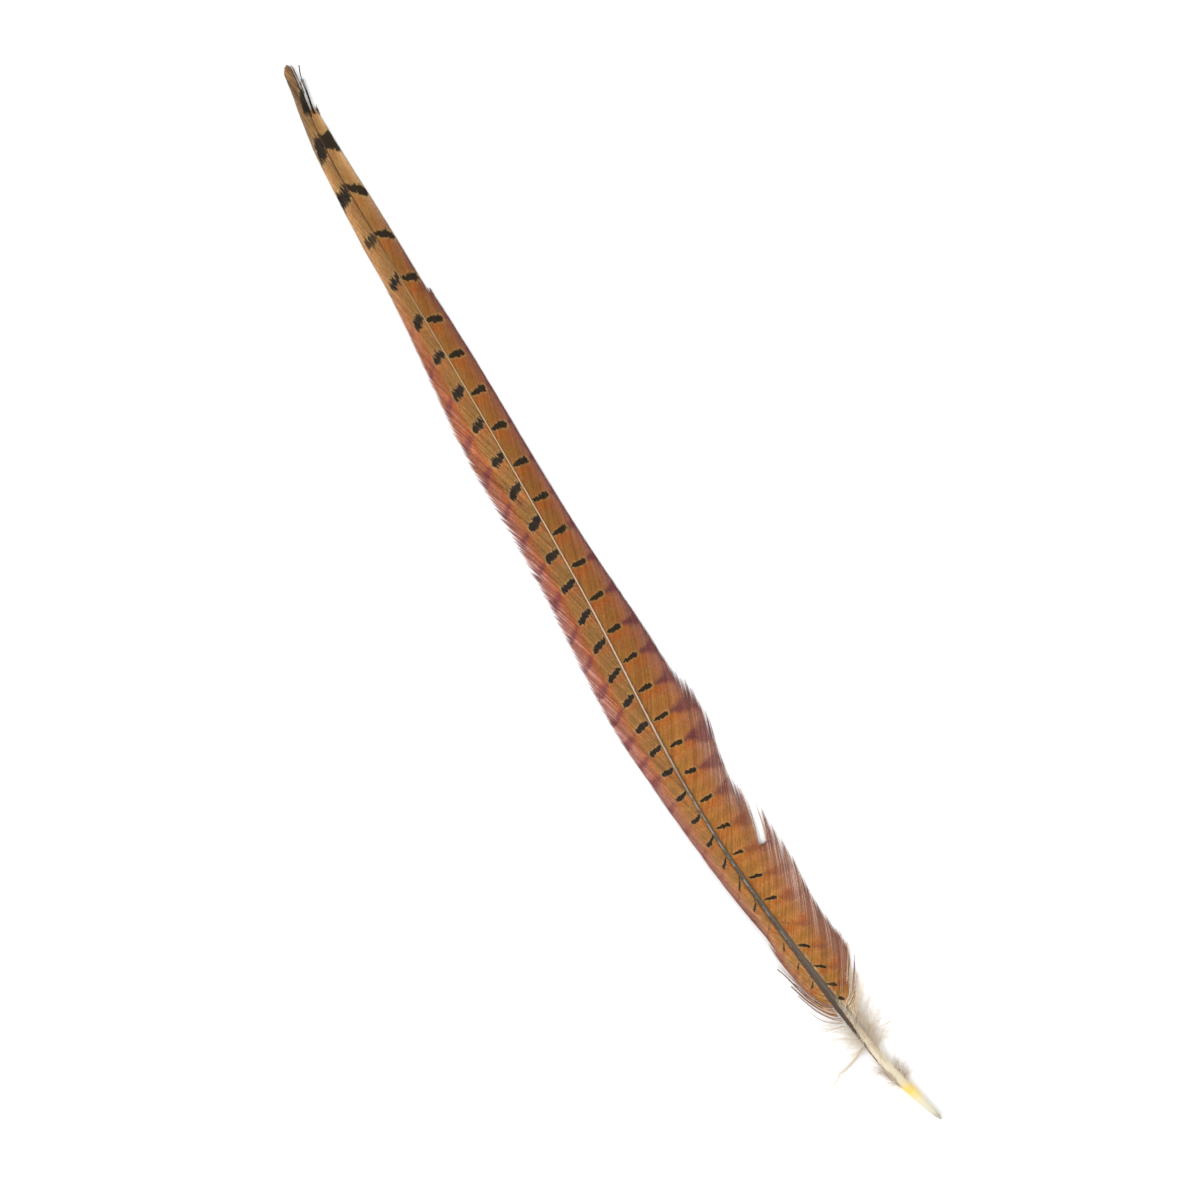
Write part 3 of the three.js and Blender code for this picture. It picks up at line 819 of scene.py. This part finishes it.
leftDown = {
    "toLeft": 1,
    # each tuft's barbs: rooted from and to, how many, turn from the shaft in degrees, length, curl,
    # barbule length, greyness, and where they root across the shaft, in half widths
    "tufts": [
        (-201, -188, 26, (40, 75), (3, 7), 0.4, 1.1, 0.05, 0.8),
        (-199, -195, 11, (42, 66), (9, 16), 0.3, 1.2, 0.1, 0.8),
        (-192, -187, 9, (62, 82), (8, 15), 0.25, 0.8, 0.25, 0.8),
        (-201.5, -197, 15, (80, 122), (4, 9), 0.4, 1.4, 0.1, 0.8),
        (-222, -213, 34, (6, 38), (4, 10), 0.5, 1.0, 0.8, 0.8),
        (-222, -216, 8, (40, 75), (3, 7), 0.5, 0.9, 0.5, 0.8),
    ],
    # each strand's barbs: how many, greyness, how far they stray from the path, and the path
    "strands": [
        (2, 0.9, 0.5, [(-189.4, 1.6), (-188.6, 6), (-187, 10), (-184.6, 13.8)]),
        (8, 0.3, 0.55, [(-200.6, 0), (-202.5, 3.7), (-203.8, 8.3), (-204.6, 12), (-206.4, 15.7),
                        (-207.6, 17.3)]),
        (4, 0.5, 0.6, [(-200.4, 0), (-202.4, 3.8), (-203.8, 8.4), (-204.3, 11.6), (-203.2, 13.8)]),
        (4, 0.1, 1.1, [(-200, 0), (-202.2, 3.4), (-203.4, 7), (-203.9, 9.6)]),
    ],
}
rightDown = {
    "toLeft": -1,
    "tufts": [
        (-204, -183.5, 76, (20, 50), (4, 9), 0.35, 1.4, 0.25, 0.8),
        (-204, -184, 44, (30, 60), (10, 18), 0.35, 1.1, 0.3, 0.8),
        (-211, -181, 66, (12, 36), (4, 11), 0.3, 0.9, 0.2, 0.1),
        (-204, -190, 10, (14, 34), (4, 9), 0.3, 0.8, 0.1, -0.9),
        (-185, -179.5, 18, (24, 50), (2, 5), 0.3, 0.9, 0.1, 0.8),
        (-203, -194, 14, (58, 96), (8, 16), 0.7, 0.9, 0.4, 0.8),
        (-190, -182, 18, (24, 44), (9, 18), 0.25, 0.8, 0.3, 0.8),
        (-221, -213, 30, (34, 78), (3, 6.5), 0.6, 1.1, 0.75, 0.8),
    ],
    "strands": [
        (1, 0.8, 0.5, [(-212.3, -7.2), (-209.6, -8.6), (-208.3, -11.3), (-205.3, -11.9), (-203.2, -9.2)]),
        (1, 0.3, 0.5, [(-203, -5), (-202.4, -9), (-203.2, -12.3), (-206.3, -18.3)]),
        (2, 0.3, 0.5, [(-199, -4), (-197, -9), (-197.8, -13.9), (-198.9, -19)]),
    ],
}
fluff = {"steps": 9, "barbulesPerMm": 4.6, "stemRadius": 0.045, "barbuleRadius": 0.02}


def downMaterial():
    material, tree, shader = newMaterial("downFluff", roughness=0.85, specular=0.15, sheen=0.2)
    grey, along, _, _ = readValues(tree, "down")
    cream = along.mix((250, 230, 196), (254, 247, 232))
    brown = along.mix((178, 148, 122), (218, 196, 172))
    tree.links.new(grey.mix(cream, brown), shader.inputs["Base Color"])
    return material


downFinish = downMaterial()


def strand(start, heading, curl, length, steps, endHeight, toLeft):  # a soft curve that sinks to the surface
    t = np.linspace(0, 1, steps)
    wave = chance.normal(0, 0.25) * np.sin(t * chance.uniform(3, 7))
    angles = heading + curl * t + wave
    stepLength = length / (steps - 1)
    x = start[0] + np.concatenate(([0], np.cumsum(np.cos(angles[:-1])))) * stepLength
    y = start[1] + np.concatenate(([0], np.cumsum(np.sin(angles[:-1])))) * stepLength * toLeft
    z = start[2] + (endHeight - start[2]) * easeBetween(t, 0, 0.8)
    return np.stack((x, y, z), axis=-1)


def fringe(path, length, barbule, toLeft):  # short barbules on both sides of one downy barb
    leaves, places = [], []
    steps = np.diff(path[:, :2], axis=0)
    angles = np.arctan2(steps[:, 1] * toLeft, steps[:, 0])
    for place in chance.uniform(0.05, 1, int(length * fluff["barbulesPerMm"])):
        i = place * len(steps)
        whole = min(int(i), len(steps) - 1)
        point = path[whole] + (path[whole + 1] - path[whole]) * (i - whole)
        hand = chance.choice((-1, 1))
        turn = angles[whole] + hand * chance.uniform(0.4, 1.0)
        reach = barbule * chance.uniform(0.4, 1.2) * (1.1 - 0.6 * place)
        sink = max(0.15, point[2] + chance.uniform(-0.5, 0.5))
        leaves.append(strand(point, turn, -hand * chance.uniform(0, 0.8), reach, 3, sink, toLeft))
        places.append(place)
    return leaves, places


def restOnShaft(points):  # lifts what would run through the shaft onto its upper side
    x, y, z = np.moveaxis(points, -1, 0)
    across = np.clip((y - shaftSide(x)) / (1.05 * shaftHalf(x)), -1, 1)
    top = shaftMiddle(x) + shaftDepth(x) * np.sqrt(1 - across ** 2) + 0.06
    z = np.where(np.abs(across) < 1, np.maximum(z, top), z)
    return np.stack((x, y, z), axis=-1)


def growDown(name, side):
    toLeft = side["toLeft"]
    stems, leaves, stemTones, leafTones = [], [], [], []

    def addBarb(path, length, barbule, grey):
        stems.append(path)
        stemTones.append((grey, 0.3))
        grown, places = fringe(path, length, barbule, toLeft)
        leaves.extend(grown)
        leafTones.extend((grey, 0.5 + 0.5 * place) for place in places)

    steps = fluff["steps"]
    for start, end, count, angles, lengths, curl, barbule, grey, rootAt in side["tufts"]:
        for _ in range(count):
            x = chance.uniform(start, end)
            rootSide = toLeft * rootAt
            root = (x, float(shaftSide(x)) + rootSide * float(shaftHalf(x)), float(shaftMiddle(x)))
            heading = math.radians(chance.uniform(*angles))
            length = chance.uniform(*lengths)
            path = strand(root, heading, chance.normal(0, curl), length, steps, chance.uniform(0.25, 1.8),
                          toLeft)
            addBarb(path, length, barbule, np.clip(chance.normal(grey, 0.15), 0, 1))
    for count, grey, sway, corners in side["strands"]:
        for _ in range(count):
            shift = chance.normal(0, sway, (1, 2))
            flat = smoothPath(corners, steps) + shift * np.linspace(0.3, 1, steps)[:, None]
            rise = np.linspace(float(shaftMiddle(corners[0][0])), chance.uniform(0.3, 0.8), steps)
            length = np.hypot(*np.diff(flat, axis=0).T).sum()
            addBarb(np.column_stack((flat, rise)), length * 0.9, 0.9, grey)
    points, faces, values = np.empty((0, 3)), [], np.empty((0, 4))
    stems, leaves = restOnShaft(np.array(stems)), restOnShaft(np.array(leaves))
    for paths, tones, radius in ((stems, stemTones, fluff["stemRadius"]),
                                 (leaves, leafTones, fluff["barbuleRadius"])):
        every = np.ones(paths.shape[:2])
        morePoints, moreFaces = hairs(paths, radius * (np.linspace(1, 0.35, paths.shape[1])[None, :] * every))
        faces = joinFaces(faces, moreFaces, len(points))
        points = np.concatenate((points, morePoints))
        tones = np.array(tones)
        values = np.concatenate((values, perCorner(tones[:, :1] * every, tones[:, 1:2], 0, 1, sides=3)))
    piece = meshPiece(name, points, faces, downFinish, {"down": values})
    triangles = sum(len(face) - 2 for face in faces)
    print(name, len(stems), "barbs", len(leaves), "barbules", triangles, "triangles")
    return piece


leftFluff = growDown("leftDownFluff", leftDown)
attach(leftFluff, "root")
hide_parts("left_down")
rightFluff = growDown("rightDownFluff", rightDown)
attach(rightFluff, "root")
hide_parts("right_down")


stage = {
    "floorSize": 6.0,
    "floorDrop": 0.0003,
    "lens": 100.0,
    "sensor": 36.0,
    "frameWidth": 0.4645,  # what the view takes in, at the feather's height
    "aim": (0.0003, -0.0050, 0.003),
    "tipDirection": 121.88,  # degrees, the feather's tip in the view, counter-clockwise from the right
}

bpy.ops.mesh.primitive_plane_add(size=stage["floorSize"], location=(0, 0, -stage["floorDrop"]))
floor = bpy.context.object
floor.name = "paleFloor"
floorFinish, floorTree, floorShader = newMaterial("paleFloorFinish", roughness=0.9, specular=0.1)
floorShader.inputs["Base Color"].default_value = (0.95, 0.95, 0.95, 1)
floor.data.materials.append(floorFinish)

world = bpy.data.worlds.new("softRoom")
world.use_nodes = True
world.node_tree.nodes["Background"].inputs["Color"].default_value = (1, 1, 1, 1)
world.node_tree.nodes["Background"].inputs["Strength"].default_value = 0.92
scene.world = world
scene.view_settings.view_transform = "Standard"


def softLight(name, place, size, power):
    data = bpy.data.lights.new(name, "AREA")
    data.shape = "DISK"
    data.size = size
    data.energy = power
    lamp = bpy.data.objects.new(name, data)
    lamp.location = place
    lamp.rotation_euler = (Vector((0, 0, 0)) - Vector(place)).to_track_quat("-Z", "Y").to_euler()
    scene.collection.objects.link(lamp)


softLight("keyLight", (0.35, 1.0, 1.5), 0.9, 14.5)
softLight("fillLight", (-0.6, -0.9, 1.4), 1.4, 3.5)

cameraData = bpy.data.cameras.new("viewCamera")
cameraData.lens = stage["lens"]
cameraData.sensor_width = stage["sensor"]
camera = bpy.data.objects.new("viewCamera", cameraData)
height = stage["frameWidth"] * stage["lens"] / stage["sensor"]
camera.matrix_world = (Matrix.Translation(Vector(stage["aim"]) + Vector((0, 0, height)))
                       @ Matrix.Rotation(-math.radians(stage["tipDirection"]), 4, "Z"))
scene.collection.objects.link(camera)
scene.camera = camera
